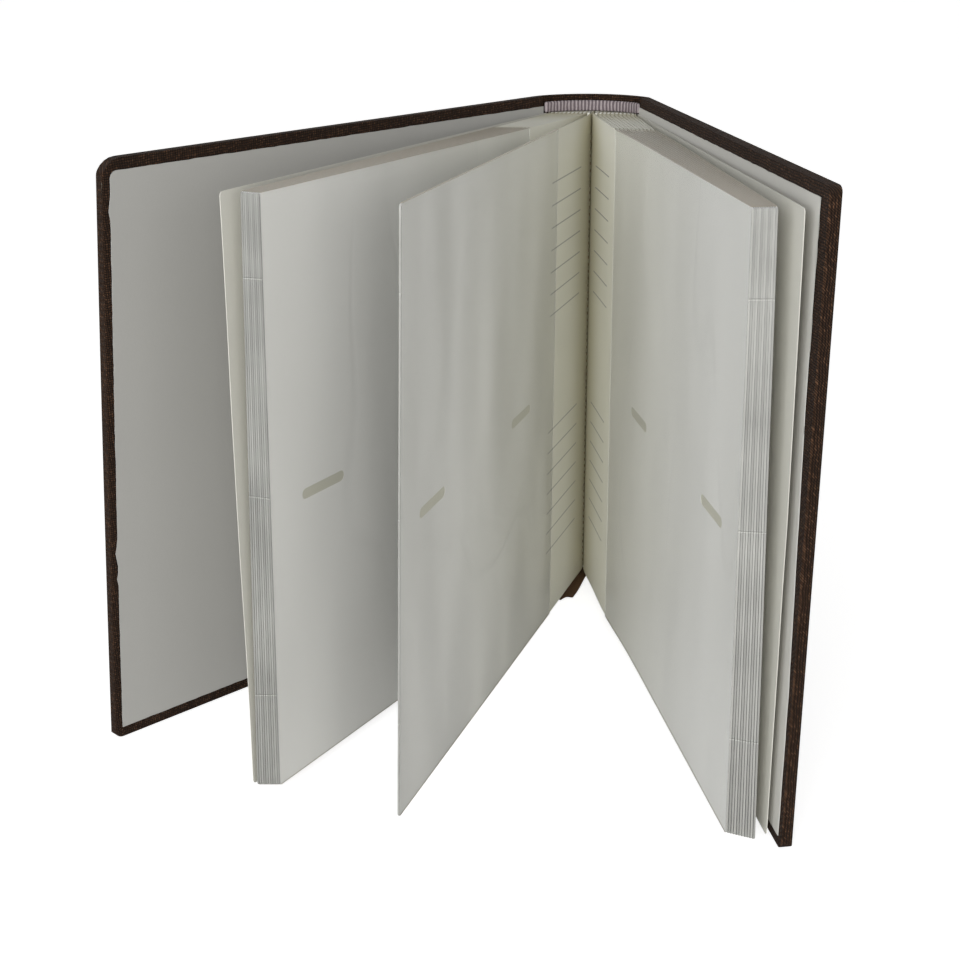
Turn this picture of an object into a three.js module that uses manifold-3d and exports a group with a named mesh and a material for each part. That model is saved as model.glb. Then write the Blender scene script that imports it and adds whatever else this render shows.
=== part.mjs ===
// A cloth-bound photo album with film-sleeved card leaves, standing open on its lower edges.
// Millimetres. X runs across the spine, the album opens toward -Y, and +Z is up.
// The origin is the middle of the spine wall at its foot. The front cover is on the -X side.

import * as THREE from 'three';
import { mergeVertices } from 'three/addons/utils/BufferGeometryUtils.js';
import Module from 'manifold-3d';

const wasm = await Module();
wasm.setup();

const degrees = Math.PI / 180;

// Cloth, boards and papers
const clothThickness = 0.5;
const boardThickness = 2.7;
const spineBoardThickness = 1.5;
const liningThickness = 0.25;
const pastedownThickness = 0.25;
const flyleafThickness = 0.25;
const glueGap = 0.2;            // between layers that are pasted together
const foldGap = 0.2;            // between the flyleaf and the pastedown when the cover is shut
const hingeGap = 0.3;           // between the spine's rolled edge and the cover beside it

// Covers
const coverHeight = 225;
const coverReach = 233.2;       // hinge axis to fore-edge
const coverCornerRadius = 3.5;
const crushedCornerRadius = 8;  // the front cover's head corner, blunted by use
const coverEdgeRounding = 0.9;
const turnInWidth = 15;
const foreEdgeMargin = 2.8;     // cloth left bare round the pastedown
const headMargin = 4.1;
const tailMargin = 4.5;
const frontCoverAngle = 33.9;   // opened from the closed position, at rest
const backCoverAngle = 17.6;
const frontCoverWarp = -3.25;   // twist of the warped board's head end, and as much again at its tail
const warpSteps = 18;           // strips up the warped board
const warpParts = 4;            // and across it

// Spine
const spineRadius = 32;         // outside of the rounded spine
const hingeOffset = 23.8;       // spine's middle plane to each cover's hinge axis
const spineWall = 1.2;          // cloth and lining together at the joint
const rolledEdgeRadius = 0.7;
const spineBoardHalfWidth = 18.5;
const spineTurnIn = 12;

// Block of guards
const guardToFlyleaf = 0.4;     // beside the guards, when the flyleaf is shut
const blockToLining = 0.3;
const leafRootDepth = 15.65;    // origin to the row of leaf hinges
const guardFrontGap = 0.6;      // leaf hinge axis to the front of the guards
const leafLift = 3;             // the leaves and guards end this far above the covers' tail edge
const bandThickness = 1.8;
const bandHeight = 4.5;
const bandRounding = 0.7;
const bandSeat = 0.3;

// Leaves
const leafCount = 22;
const turningLeaf = 11;         // stands by itself between the two halves
const leafPitch = 1.75;
const leafWidth = 226;
const headSquare = 7;           // the covers' overhang at the head
const cardThickness = 0.3;
const leafCornerRadius = 1.2;
const beadRadius = 0.5;
const grooveGap = 0.3;
const leftPageAngle = 21.5;
const turningLeafAngle = 9.4;
const rightPageAngle = 18.1;
const foreEdgePitch = 0.9;      // between neighbouring leaves at the fore-edge, at rest

// Thumb slots through each card, along its middle
const slotLength = 24.5;
const innerSlotSetback = 33.5;  // from the pocket's inner edge
const outerSlotSetback = 18;    // from the fore-edge
const slotHeight = 4;

// Film pockets
const filmThickness = 0.08;
const filmGap = 0.04;
const filmInnerEdge = 50;
const weldGap = 0.3;

// Flyleaves
const flyleafWidth = 227.5;
const flyleafStart = 0.2;       // hinge axis to the fold at the sheet's root
const frontFlyleafAngle = 19.7;
const backFlyleafAngle = 17.1;

const coverThickness = 2 * clothThickness + boardThickness + 2 * glueGap;
const innerFaceOffset = coverThickness - rolledEdgeRadius;
const coverStart = rolledEdgeRadius + hingeGap;
const spineWallRadius = spineRadius - spineWall / 2;
const spineTurnInRadius = spineRadius - 2 * clothThickness - spineBoardThickness - 2 * glueGap;
const spineCentreY = -(spineRadius + spineTurnInRadius) / 2;
const hingeY = spineCentreY + Math.sqrt(spineWallRadius ** 2 - hingeOffset ** 2);
const liningRadius = spineTurnInRadius - glueGap;
const guardRadius = liningRadius - liningThickness - blockToLining;
const leafRootY = -leafRootDepth;
const guardFrontY = leafRootY + guardFrontGap;
const flyleafOuterFace = innerFaceOffset + glueGap + pastedownThickness + foldGap;
const guardHalfWidth = hingeOffset - flyleafOuterFace - flyleafThickness - guardToFlyleaf;
const blockHead = coverHeight - headSquare;
const leafHeight = blockHead - leafLift;

const finishes = {
  cloth: { color: '#35271b', roughness: 0.9, metalness: 0 },
  board: { color: '#8d7f69', roughness: 0.95, metalness: 0 },
  paper: { color: '#c9c8c3', roughness: 0.9, metalness: 0 },
  guards: { color: '#c3c1b6', roughness: 0.9, metalness: 0 },
  card: { color: '#aeab97', roughness: 0.8, metalness: 0 },
  film: { color: '#d6d9d8', roughness: 0.15, metalness: 0, transparent: true, opacity: 0.35 },
  band: { color: '#c9b2bd', roughness: 0.8, metalness: 0 },
};

// A closed solid for joining and cutting, and back again
function toSolid(geometry) {
  const bare = geometry.clone();
  bare.deleteAttribute('normal');
  bare.deleteAttribute('uv');
  const merged = mergeVertices(bare, 1e-5);
  return new wasm.Manifold(new wasm.Mesh({
    numProp: 3,
    vertProperties: Float32Array.from(merged.attributes.position.array),
    triVerts: Uint32Array.from(merged.index.array),
  }));
}

function toGeometry(solid) {
  const mesh = solid.getMesh();
  const geometry = new THREE.BufferGeometry();
  geometry.setAttribute('position', new THREE.BufferAttribute(mesh.vertProperties, 3));
  geometry.setIndex(new THREE.BufferAttribute(mesh.triVerts, 1));
  geometry.computeVertexNormals();
  return geometry;
}

function cut(geometry, ...tools) {
  return toGeometry(tools.reduce((solid, tool) => solid.subtract(toSolid(tool)), toSolid(geometry)));
}

function join(geometry, ...others) {
  return toGeometry(others.reduce((solid, other) => solid.add(toSolid(other)), toSolid(geometry)));
}

// An outline in the ground plane, raised from one height to another
function raised(outline, low, high, rounding = 0, segments = 8, edgeSteps = 1) {
  const geometry = new THREE.ExtrudeGeometry(outline, {
    depth: high - low - 2 * rounding,
    curveSegments: segments,
    bevelEnabled: rounding > 0,
    bevelThickness: rounding,
    bevelSize: rounding,
    bevelOffset: -rounding,
    bevelSegments: edgeSteps,
  });
  geometry.translate(0, 0, low + rounding);
  return geometry;
}

// An outline in the plane of a closed leaf (first coordinate toward the fore-edge, second up),
// given its thickness from one X to another
function sheet(outline, fromX, toX, rounding = 0, segments = 2) {
  const low = Math.min(fromX, toX);
  const high = Math.max(fromX, toX);
  const geometry = raised(outline, low, high, rounding, segments);
  geometry.applyMatrix4(new THREE.Matrix4().makeBasis(
    new THREE.Vector3(0, -1, 0),
    new THREE.Vector3(0, 0, 1),
    new THREE.Vector3(-1, 0, 0),
  ));
  geometry.translate(low + high, 0, 0);
  return geometry;
}

// A rectangle whose two fore-edge corners are rounded
function panel(from, to, foot, head, footRadius, headRadius) {
  const outline = new THREE.Shape();
  outline.moveTo(from, foot);
  outline.lineTo(to - footRadius, foot);
  outline.absarc(to - footRadius, foot + footRadius, footRadius, -Math.PI / 2, 0, false);
  outline.lineTo(to, head - headRadius);
  outline.absarc(to - headRadius, head - headRadius, headRadius, 0, Math.PI / 2, false);
  outline.lineTo(from, head);
  return outline;
}

function rectangle(from, to, foot, head) {
  const outline = new THREE.Shape();
  outline.moveTo(from, foot);
  outline.lineTo(to, foot);
  outline.lineTo(to, head);
  outline.lineTo(from, head);
  return outline;
}

// A slot with round ends, lying along the leaf
function slot(kind, start, length, middle, height) {
  const radius = height / 2;
  const outline = new kind();
  outline.moveTo(start + radius, middle - radius);
  outline.lineTo(start + length - radius, middle - radius);
  outline.absarc(start + length - radius, middle, radius, -Math.PI / 2, Math.PI / 2, false);
  outline.lineTo(start + radius, middle + radius);
  outline.absarc(start + radius, middle, radius, Math.PI / 2, 1.5 * Math.PI, false);
  return outline;
}

// A band that follows the rounded spine
function arcBand(outerRadius, innerRadius, halfAngle) {
  const outline = new THREE.Shape();
  const up = Math.PI / 2;
  outline.absarc(0, spineCentreY, outerRadius, up - halfAngle, up + halfAngle, false);
  outline.absarc(0, spineCentreY, innerRadius, up + halfAngle, up - halfAngle, true);
  return outline;
}

function disc(x, y, radius) {
  const outline = new THREE.Shape();
  outline.absarc(x, y, radius, 0, 2 * Math.PI, false);
  return outline;
}

function addPiece(body, name, geometry, finish) {
  const piece = new THREE.Mesh(geometry, new THREE.MeshStandardMaterial(finishes[finish]));
  piece.name = name;
  body.add(piece);
}

// A body that turns about a vertical axis: side -1 opens toward -X, side 1 toward +X
function hinged(album, x, y, side, angle) {
  const body = new THREE.Group();
  body.position.set(x, y, 0);
  body.rotation.z = side * angle * degrees;
  album.add(body);
  return body;
}

function spineCloth() {
  const jointAngle = Math.asin(hingeOffset / spineWallRadius);
  const boardAngle = Math.asin(spineBoardHalfWidth / spineWallRadius);
  const sideAngle = clothThickness / spineWallRadius;
  const pocketOuter = spineRadius - clothThickness;
  const pocketInner = spineTurnInRadius + clothThickness;
  const wall = arcBand(spineRadius, spineRadius - spineWall, jointAngle);
  const core = arcBand(spineRadius, spineTurnInRadius, boardAngle + 2 * sideAngle);
  const pocket = arcBand(pocketOuter, pocketInner, boardAngle + sideAngle);
  const window = arcBand(
    pocketInner + clothThickness, spineTurnInRadius - clothThickness, boardAngle + 3 * sideAngle);
  const rolledEdges = [-1, 1].map((side) => (
    raised(disc(side * hingeOffset, hingeY, rolledEdgeRadius), 0, coverHeight, 0, 4)));
  return cut(
    join(raised(wall, 0, coverHeight), raised(core, 0, coverHeight), ...rolledEdges),
    raised(pocket, clothThickness, coverHeight - clothThickness),
    raised(window, spineTurnIn, coverHeight - spineTurnIn));
}

function addSpine(album) {
  const boardAngle = Math.asin(spineBoardHalfWidth / spineWallRadius);
  const boardOuter = spineRadius - clothThickness - glueGap;
  const boardEnd = clothThickness + glueGap;
  const board = arcBand(boardOuter, boardOuter - spineBoardThickness, boardAngle);
  const lining = arcBand(liningRadius, liningRadius - liningThickness, boardAngle);
  addPiece(album, 'spine_board', raised(board, boardEnd, coverHeight - boardEnd), 'board');
  addPiece(album, 'spine_cloth', spineCloth(), 'cloth');
  addPiece(album, 'spine_lining', raised(lining, leafLift, blockHead), 'paper');
}

// The guards fill the spine: rounded behind, with a shallow groove in front for each leaf's bead
function guardOutline() {
  const grooveRadius = beadRadius + grooveGap;
  const lip = Math.asin(guardFrontGap / grooveRadius);
  const shoulder = Math.acos(guardHalfWidth / guardRadius);
  const backArcs = 4;
  const outline = new THREE.Shape();
  outline.moveTo(-guardHalfWidth, guardFrontY);
  for (let number = 1; number <= leafCount; number += 1) {
    outline.absarc(leafRootX(number), leafRootY, grooveRadius, Math.PI - lip, lip, true);
  }
  outline.lineTo(guardHalfWidth, guardFrontY);
  const turn = (Math.PI - 2 * shoulder) / backArcs;
  for (let part = 0; part < backArcs; part += 1) {
    const start = shoulder + part * turn;
    outline.absarc(0, spineCentreY, guardRadius, start, start + turn, false);
  }
  return outline;
}

function addBlock(album) {
  const bandAngle = Math.asin((guardHalfWidth - bandThickness) / guardRadius);
  const band = arcBand(guardRadius, guardRadius - bandThickness, bandAngle);
  const headSeat = blockHead + bandSeat;
  const tailSeat = leafLift - bandSeat;
  addPiece(album, 'guard_block', raised(guardOutline(), leafLift, blockHead, 0, 2), 'guards');
  const headBand = raised(band, headSeat, headSeat + bandHeight, bandRounding, 8, 2);
  const tailBand = raised(band, tailSeat - tailBandHeight(), tailSeat, bandRounding, 8, 2);
  addPiece(album, 'head_band', headBand, 'band');
  addPiece(album, 'tail_band', tailBand, 'band');
}

// The tail band has to stay off the surface that the album stands on
function tailBandHeight() {
  return Math.min(bandHeight, leafLift - 2 * bandSeat);
}

// A layer of a cover from one depth to another below its inner face, twisted about the hinge axis
function coverLayer(side, fromDepth, toDepth, warp, rounding = 0) {
  const inner = fromDepth - innerFaceOffset;
  const outer = toDepth - innerFaceOffset;
  const parts = warp === 0 ? 1 : warpParts;
  const stations = [];
  for (let part = 0; part < parts; part += 1) {
    stations.push(-coverStart - (part / parts) * (coverReach - rounding - coverStart));
  }
  const section = new THREE.Shape();
  stations.forEach((y, part) => {
    if (part === 0) {
      section.moveTo(side * inner, y);
    } else {
      section.lineTo(side * inner, y);
    }
  });
  section.lineTo(side * inner, -coverReach + rounding);
  if (rounding > 0) {
    section.quadraticCurveTo(side * inner, -coverReach, side * (inner + rounding), -coverReach);
    section.lineTo(side * (outer - rounding), -coverReach);
    section.quadraticCurveTo(side * outer, -coverReach, side * outer, -coverReach + rounding);
  } else {
    section.lineTo(side * outer, -coverReach);
  }
  stations.reverse().forEach((y) => section.lineTo(side * outer, y));
  const geometry = new THREE.ExtrudeGeometry(section, {
    depth: coverHeight, steps: warp === 0 ? 1 : warpSteps, curveSegments: 3, bevelEnabled: false,
  });
  const places = geometry.attributes.position;
  for (let point = 0; point < places.count; point += 1) {
    const turn = side * warp * degrees * (2 * places.getZ(point) / coverHeight - 1);
    const x = places.getX(point);
    const y = places.getY(point);
    places.setX(point, x * Math.cos(turn) - y * Math.sin(turn));
    places.setY(point, x * Math.sin(turn) + y * Math.cos(turn));
  }
  return geometry;
}

// The part of a cover's layer that lies inside an outline drawn on the closed cover
function trimmed(layer, outline) {
  const reach = coverReach / 4;
  return toGeometry(toSolid(layer).intersect(toSolid(sheet(outline, -reach, reach, 0, 3))));
}

function addCover(album, side, name, angle, headRadius, warp) {
  const body = hinged(album, side * hingeOffset, hingeY, side, angle);
  const layer = (from, to, rounding) => coverLayer(side, from, to, warp, rounding);
  const edge = clothThickness + glueGap;
  const pastedownSide = -glueGap - pastedownThickness;
  const outline = panel(coverStart, coverReach, 0, coverHeight, coverCornerRadius, headRadius);
  const pocket = panel(
    coverStart + clothThickness, coverReach - clothThickness,
    clothThickness, coverHeight - clothThickness,
    coverCornerRadius - clothThickness, headRadius - clothThickness);
  const board = panel(
    coverStart + edge, coverReach - edge, edge, coverHeight - edge,
    coverCornerRadius - edge, headRadius - edge);
  const window = rectangle(
    coverStart + turnInWidth, coverReach - turnInWidth, turnInWidth, coverHeight - turnInWidth);
  const pastedown = rectangle(
    coverStart, coverReach - foreEdgeMargin, tailMargin, coverHeight - headMargin);
  const cloth = cut(
    trimmed(layer(0, coverThickness, coverEdgeRounding), outline),
    trimmed(layer(clothThickness, coverThickness - clothThickness), pocket),
    trimmed(layer(-glueGap, edge), window));
  addPiece(body, `${name}_board`, trimmed(layer(edge, edge + boardThickness), board), 'board');
  addPiece(body, `${name}_cloth`, cloth, 'cloth');
  addPiece(body, `${name}_pastedown`, trimmed(layer(pastedownSide, -glueGap), pastedown), 'paper');
}

// The flyleaf lies against the pastedown when both are shut
function addFlyleaf(album, side, name, angle) {
  const body = hinged(album, side * hingeOffset, hingeY, side, angle);
  const outline = panel(
    flyleafStart, flyleafStart + flyleafWidth, leafLift, blockHead, leafCornerRadius, leafCornerRadius);
  const innerFace = flyleafOuterFace + flyleafThickness;
  const paper = sheet(outline, -side * flyleafOuterFace, -side * innerFace);
  addPiece(body, name, paper, 'paper');
}

function leafRootX(number) {
  return (number - (leafCount + 1) / 2) * leafPitch;
}

// The leaves behind a page open a little less than it does, so that their fore-edges close up
function leafRest(number) {
  if (number === turningLeaf) {
    return { side: -1, angle: turningLeafAngle };
  }
  const side = number < turningLeaf ? -1 : 1;
  const pageAngle = side < 0 ? leftPageAngle : rightPageAngle;
  const order = Math.abs(number - turningLeaf) - 1;
  const gain = leafPitch * Math.cos(pageAngle * degrees) - foreEdgePitch;
  return { side, angle: pageAngle - order * Math.asin(gain / leafWidth) / degrees };
}

const slotMiddle = leafLift + leafHeight / 2;
const slotStarts = [
  filmInnerEdge + innerSlotSetback,
  leafWidth - outerSlotSetback - slotLength,
];

function leafCard() {
  const outline = panel(0, leafWidth, leafLift, blockHead, leafCornerRadius, leafCornerRadius);
  outline.holes = slotStarts.map((start) => slot(THREE.Path, start, slotLength, slotMiddle, slotHeight));
  const card = sheet(outline, -cardThickness / 2, cardThickness / 2);
  return join(card, raised(disc(0, 0, beadRadius), leafLift, blockHead, 0, 4));
}

// A flat bag of clear film, open toward the spine, whose two walls are welded through the slots
function filmSleeve() {
  const innerHalf = cardThickness / 2 + filmGap;
  const outerHalf = innerHalf + filmThickness;
  const weldHalf = innerHalf + filmThickness / 2;
  const reach = leafWidth + filmGap;
  const foot = leafLift - filmGap;
  const head = blockHead + filmGap;
  const radius = leafCornerRadius;
  const outside = panel(
    filmInnerEdge, reach + filmThickness, foot - filmThickness, head + filmThickness,
    radius + filmThickness, radius + filmThickness);
  const inside = panel(filmInnerEdge - 1, reach, foot, head, radius, radius);
  const welds = slotStarts.map((start) => sheet(
    slot(THREE.Shape, start + weldGap, slotLength - 2 * weldGap, slotMiddle, slotHeight - 2 * weldGap),
    -weldHalf, weldHalf));
  const bag = cut(sheet(outside, -outerHalf, outerHalf), sheet(inside, -innerHalf, innerHalf));
  return join(bag, ...welds);
}

function addLeaf(album, number, card, film) {
  const { side, angle } = leafRest(number);
  const body = hinged(album, leafRootX(number), leafRootY, side, angle);
  const label = String(number).padStart(2, '0');
  addPiece(body, `leaf_${label}`, card.clone(), 'card');
  addPiece(body, `sleeve_${label}`, film.clone(), 'film');
}

function buildAlbum() {
  const album = new THREE.Group();
  addSpine(album);
  addBlock(album);
  addCover(album, -1, 'front', frontCoverAngle, crushedCornerRadius, frontCoverWarp);
  addCover(album, 1, 'back', backCoverAngle, coverCornerRadius, 0);
  addFlyleaf(album, -1, 'front_flyleaf', frontFlyleafAngle);
  addFlyleaf(album, 1, 'back_flyleaf', backFlyleafAngle);
  const card = leafCard();
  const film = filmSleeve();
  for (let number = 1; number <= leafCount; number += 1) {
    addLeaf(album, number, card, film);
  }
  return album;
}

export default buildAlbum();
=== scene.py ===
import math

import bmesh
import bpy
from mathutils import Matrix, Vector, noise


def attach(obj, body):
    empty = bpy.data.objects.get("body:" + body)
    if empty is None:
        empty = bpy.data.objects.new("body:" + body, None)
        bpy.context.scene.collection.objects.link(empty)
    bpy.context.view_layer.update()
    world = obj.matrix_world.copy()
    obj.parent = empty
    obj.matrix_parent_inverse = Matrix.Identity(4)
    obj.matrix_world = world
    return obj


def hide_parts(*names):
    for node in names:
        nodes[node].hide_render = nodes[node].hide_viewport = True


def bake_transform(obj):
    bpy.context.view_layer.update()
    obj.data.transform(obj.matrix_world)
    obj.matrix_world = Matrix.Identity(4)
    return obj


# A cloth-bound photo album standing open on its lower edges.
# Metres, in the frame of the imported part: the leaves open toward -Y and +Z is up.
# The dictionaries hold millimetres and degrees, unless they are about light, colour or texture.

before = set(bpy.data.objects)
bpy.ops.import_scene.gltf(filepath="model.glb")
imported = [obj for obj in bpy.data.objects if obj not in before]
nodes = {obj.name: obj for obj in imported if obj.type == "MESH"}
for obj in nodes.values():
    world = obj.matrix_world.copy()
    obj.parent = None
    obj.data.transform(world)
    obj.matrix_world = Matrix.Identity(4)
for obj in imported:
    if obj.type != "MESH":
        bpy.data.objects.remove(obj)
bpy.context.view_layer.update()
mm = 0.001
print("frame loaded:", len(nodes), "nodes")


# Modelling helpers

def clearSelection():
    if bpy.context.object and bpy.context.object.mode != "OBJECT":
        bpy.ops.object.mode_set(mode="OBJECT")
    bpy.ops.object.select_all(action="DESELECT")


def takeUp(piece):
    clearSelection()
    piece.select_set(True)
    bpy.context.view_layer.objects.active = piece


def settle(piece):
    takeUp(piece)
    bpy.ops.object.transform_apply(location=True, rotation=True, scale=True)


def modify(piece, kind, **settings):
    takeUp(piece)
    bpy.ops.object.modifier_add(type=kind)
    modifier = piece.modifiers[-1]
    for setting, value in settings.items():
        setattr(modifier, setting, value)
    bpy.ops.object.modifier_apply(modifier=modifier.name)


def smooth(piece, angle=32):
    takeUp(piece)
    bpy.ops.object.shade_smooth_by_angle(angle=math.radians(angle))


def pickFaces(piece, test):
    takeUp(piece)
    bpy.ops.object.mode_set(mode="EDIT")
    bpy.ops.mesh.select_mode(type="FACE")
    bpy.ops.mesh.select_all(action="DESELECT")
    mesh = bmesh.from_edit_mesh(piece.data)
    for face in mesh.faces:
        face.select = test(face)
    bmesh.update_edit_mesh(piece.data)


def pickVertices(piece, test):
    takeUp(piece)
    bpy.ops.object.mode_set(mode="EDIT")
    bpy.ops.mesh.select_mode(type="VERT")
    bpy.ops.mesh.select_all(action="DESELECT")
    mesh = bmesh.from_edit_mesh(piece.data)
    for vertex in mesh.verts:
        vertex.select = test(vertex.co)
    mesh.select_flush(True)
    bmesh.update_edit_mesh(piece.data)


def joinParts(parts):
    clearSelection()
    for part in parts:
        part.select_set(True)
    bpy.context.view_layer.objects.active = parts[0]
    bpy.ops.object.join()
    return parts[0]


# 0 up to the start, 1 from a given length past it
def rise(value, start, length):
    return min(1, max(0, (value - start) / length))


def softly(share):
    return share * share * (3 - 2 * share)


def twin(piece, name):
    copy = piece.copy()
    copy.data = piece.data.copy()
    copy.name = name
    copy.data.name = name
    bpy.context.scene.collection.objects.link(copy)
    return copy


# A sheet with no thickness yet: X runs from the fold to the fore-edge, Z is up
def flatSheet(name, start, end, low, high, columns, rows, corner=0.0):
    clearSelection()
    bpy.ops.mesh.primitive_grid_add(
        x_subdivisions=columns, y_subdivisions=rows, size=1,
        location=((start + end) / 2 * mm, 0, (low + high) / 2 * mm), rotation=(math.pi / 2, 0, 0))
    piece = bpy.context.object
    piece.name = name
    piece.data.name = name
    piece.scale = ((end - start) * mm, (high - low) * mm, 1)
    settle(piece)
    if corner > 0:
        pickVertices(piece, lambda co: co.x > (end - 0.01) * mm
                     and (co.z < (low + 0.01) * mm or co.z > (high - 0.01) * mm))
        bpy.ops.mesh.bevel(offset=corner * mm, segments=3, affect="VERTICES")
        bpy.ops.object.mode_set(mode="OBJECT")
    return piece


# The sheet's own map: across from fold to fore-edge, up from tail to head
def mapFlat(piece, width, low, high):
    mesh = piece.data
    layer = mesh.uv_layers[0] if mesh.uv_layers else mesh.uv_layers.new(name="sheet")
    layer.name = "sheet"
    for loop in mesh.loops:
        co = mesh.vertices[loop.vertex_index].co
        layer.data[loop.index].uv = (co.x / mm / width, (co.z / mm - low) / (high - low))


# Node helpers

def freshMaterial(name):
    material = bpy.data.materials.new(name)
    material.use_nodes = True
    shader = material.node_tree.nodes["Principled BSDF"]
    return material, material.node_tree, shader


def addNode(tree, kind, **settings):
    node = tree.nodes.new(kind)
    for setting, value in settings.items():
        setattr(node, setting, value)
    return node


def feed(tree, source, socket):
    if isinstance(source, (int, float)):
        socket.default_value = source
    else:
        tree.links.new(source, socket)


def sums(tree, operation, first, second=0.0, third=None):
    node = addNode(tree, "ShaderNodeMath", operation=operation)
    feed(tree, first, node.inputs[0])
    feed(tree, second, node.inputs[1])
    if third is not None:
        feed(tree, third, node.inputs[2])
    return node.outputs[0]


# A soft step from start to end while the value goes from low to high
def ramp(tree, value, low, high, start=0.0, end=1.0):
    node = addNode(tree, "ShaderNodeMapRange", interpolation_type="SMOOTHSTEP")
    settings = {"Value": value, "From Min": low, "From Max": high, "To Min": start, "To Max": end}
    for label, source in settings.items():
        feed(tree, source, node.inputs[label])
    return node.outputs[0]


# 1 inside a range, with soft ends
def between(tree, value, low, high, edge):
    start = ramp(tree, value, sums(tree, "SUBTRACT", low, edge), sums(tree, "ADD", low, edge))
    stop = ramp(tree, value, sums(tree, "SUBTRACT", high, edge), sums(tree, "ADD", high, edge), 1.0, 0.0)
    return sums(tree, "MULTIPLY", start, stop)


# Noise texture, four-dimensional where it has a seed
def grain(tree, vector, scale, detail=2.0, seed=None):
    node = addNode(tree, "ShaderNodeTexNoise", noise_dimensions="3D" if seed is None else "4D")
    node.inputs["Scale"].default_value = scale
    node.inputs["Detail"].default_value = detail
    tree.links.new(vector, node.inputs["Vector"])
    if seed is not None:
        tree.links.new(seed, node.inputs["W"])
    return node.outputs


def splitAxes(tree, vector):
    node = addNode(tree, "ShaderNodeSeparateXYZ")
    tree.links.new(vector, node.inputs[0])
    return node.outputs


def scaledColour(tree, colour, factor):
    node = addNode(tree, "ShaderNodeVectorMath", operation="SCALE")
    node.inputs[0].default_value = colour
    tree.links.new(factor, node.inputs["Scale"])
    return node.outputs[0]


# How far a value is from one half
def fromMiddle(tree, value):
    return sums(tree, "ABSOLUTE", sums(tree, "SUBTRACT", value, 0.5))


def makeGroup(name, inputs, outputs):
    group = bpy.data.node_groups.new(name, "ShaderNodeTree")
    for label, kind, value in inputs:
        socket = group.interface.new_socket(name=label, in_out="INPUT", socket_type=kind)
        if value is not None:
            socket.default_value = value
    for label, kind in outputs:
        group.interface.new_socket(name=label, in_out="OUTPUT", socket_type=kind)
    return group, group.nodes.new("NodeGroupInput"), group.nodes.new("NodeGroupOutput")


def placeGroup(tree, group, **values):
    node = addNode(tree, "ShaderNodeGroup", node_tree=group)
    for label, value in values.items():
        socket = node.inputs[label]
        if isinstance(value, bpy.types.NodeSocket):
            tree.links.new(value, socket)
        else:
            socket.default_value = value
    return node


def blendColour(tree, mask, first, second):
    node = addNode(tree, "ShaderNodeMix", data_type="RGBA")
    feed(tree, mask, node.inputs["Factor"])
    for value, label in ((first, "A"), (second, "B")):
        socket = [s for s in node.inputs if s.name == label and s.type == "RGBA"][0]
        if isinstance(value, bpy.types.NodeSocket):
            tree.links.new(value, socket)
        else:
            socket.default_value = (*value, 1.0)
    return [s for s in node.outputs if s.type == "RGBA"][0]


def bumpFrom(tree, height, strength, distance, normal=None):
    node = addNode(tree, "ShaderNodeBump")
    node.inputs["Strength"].default_value = strength
    node.inputs["Distance"].default_value = distance
    tree.links.new(height, node.inputs["Height"])
    if normal is not None:
        tree.links.new(normal, node.inputs["Normal"])
    return node.outputs["Normal"]


# Camera, floor and light

camera = {
    "place": (0.0658, -0.68345, 0.2986),
    "yaw": -9.8, "pitch": 20.39, "roll": -0.32,   # degrees: turned left, looking down
    "focal": 1516.8 / 960 * 36,
}


def addCamera():
    data = bpy.data.cameras.new("camera")
    data.sensor_width = 36
    data.lens = camera["focal"]
    piece = bpy.data.objects.new("camera", data)
    bpy.context.scene.collection.objects.link(piece)
    yaw, pitch, roll = (math.radians(camera[k]) for k in ("yaw", "pitch", "roll"))
    ahead = Vector((math.sin(yaw) * math.cos(pitch), math.cos(yaw) * math.cos(pitch), -math.sin(pitch)))
    right = Vector((math.cos(yaw), -math.sin(yaw), 0))
    above = right.cross(ahead)
    across = right * math.cos(roll) + above * math.sin(roll)
    upward = above * math.cos(roll) - right * math.sin(roll)
    turn = Matrix((across, upward, -ahead)).transposed()
    piece.matrix_world = Matrix.Translation(camera["place"]) @ turn.to_4x4()
    bpy.context.scene.camera = piece


light = {
    "sky": 0.29,
    "floorColour": (0.66, 0.66, 0.66), "floorGlow": 0.78,    # only the camera sees the glow
    "floorSize": 40, "floorHeight": -0.0004,
    "lamps": [
        # place, aim, size, watts, colour
        ((-0.52, -1.90, 0.62), (0, -0.1, 0.1), 1.0, 18.5, (0.965, 0.98, 1.0)),
        ((0.15, -1.9, 0.35), (0, -0.1, 0.08), 1.0, 12.8, (1.0, 0.985, 0.95)),
        ((1.0, -1.5, 0.30), (0, -0.1, 0.08), 1.0, 5.0, (1.0, 0.99, 0.96)),
    ],
}


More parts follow.
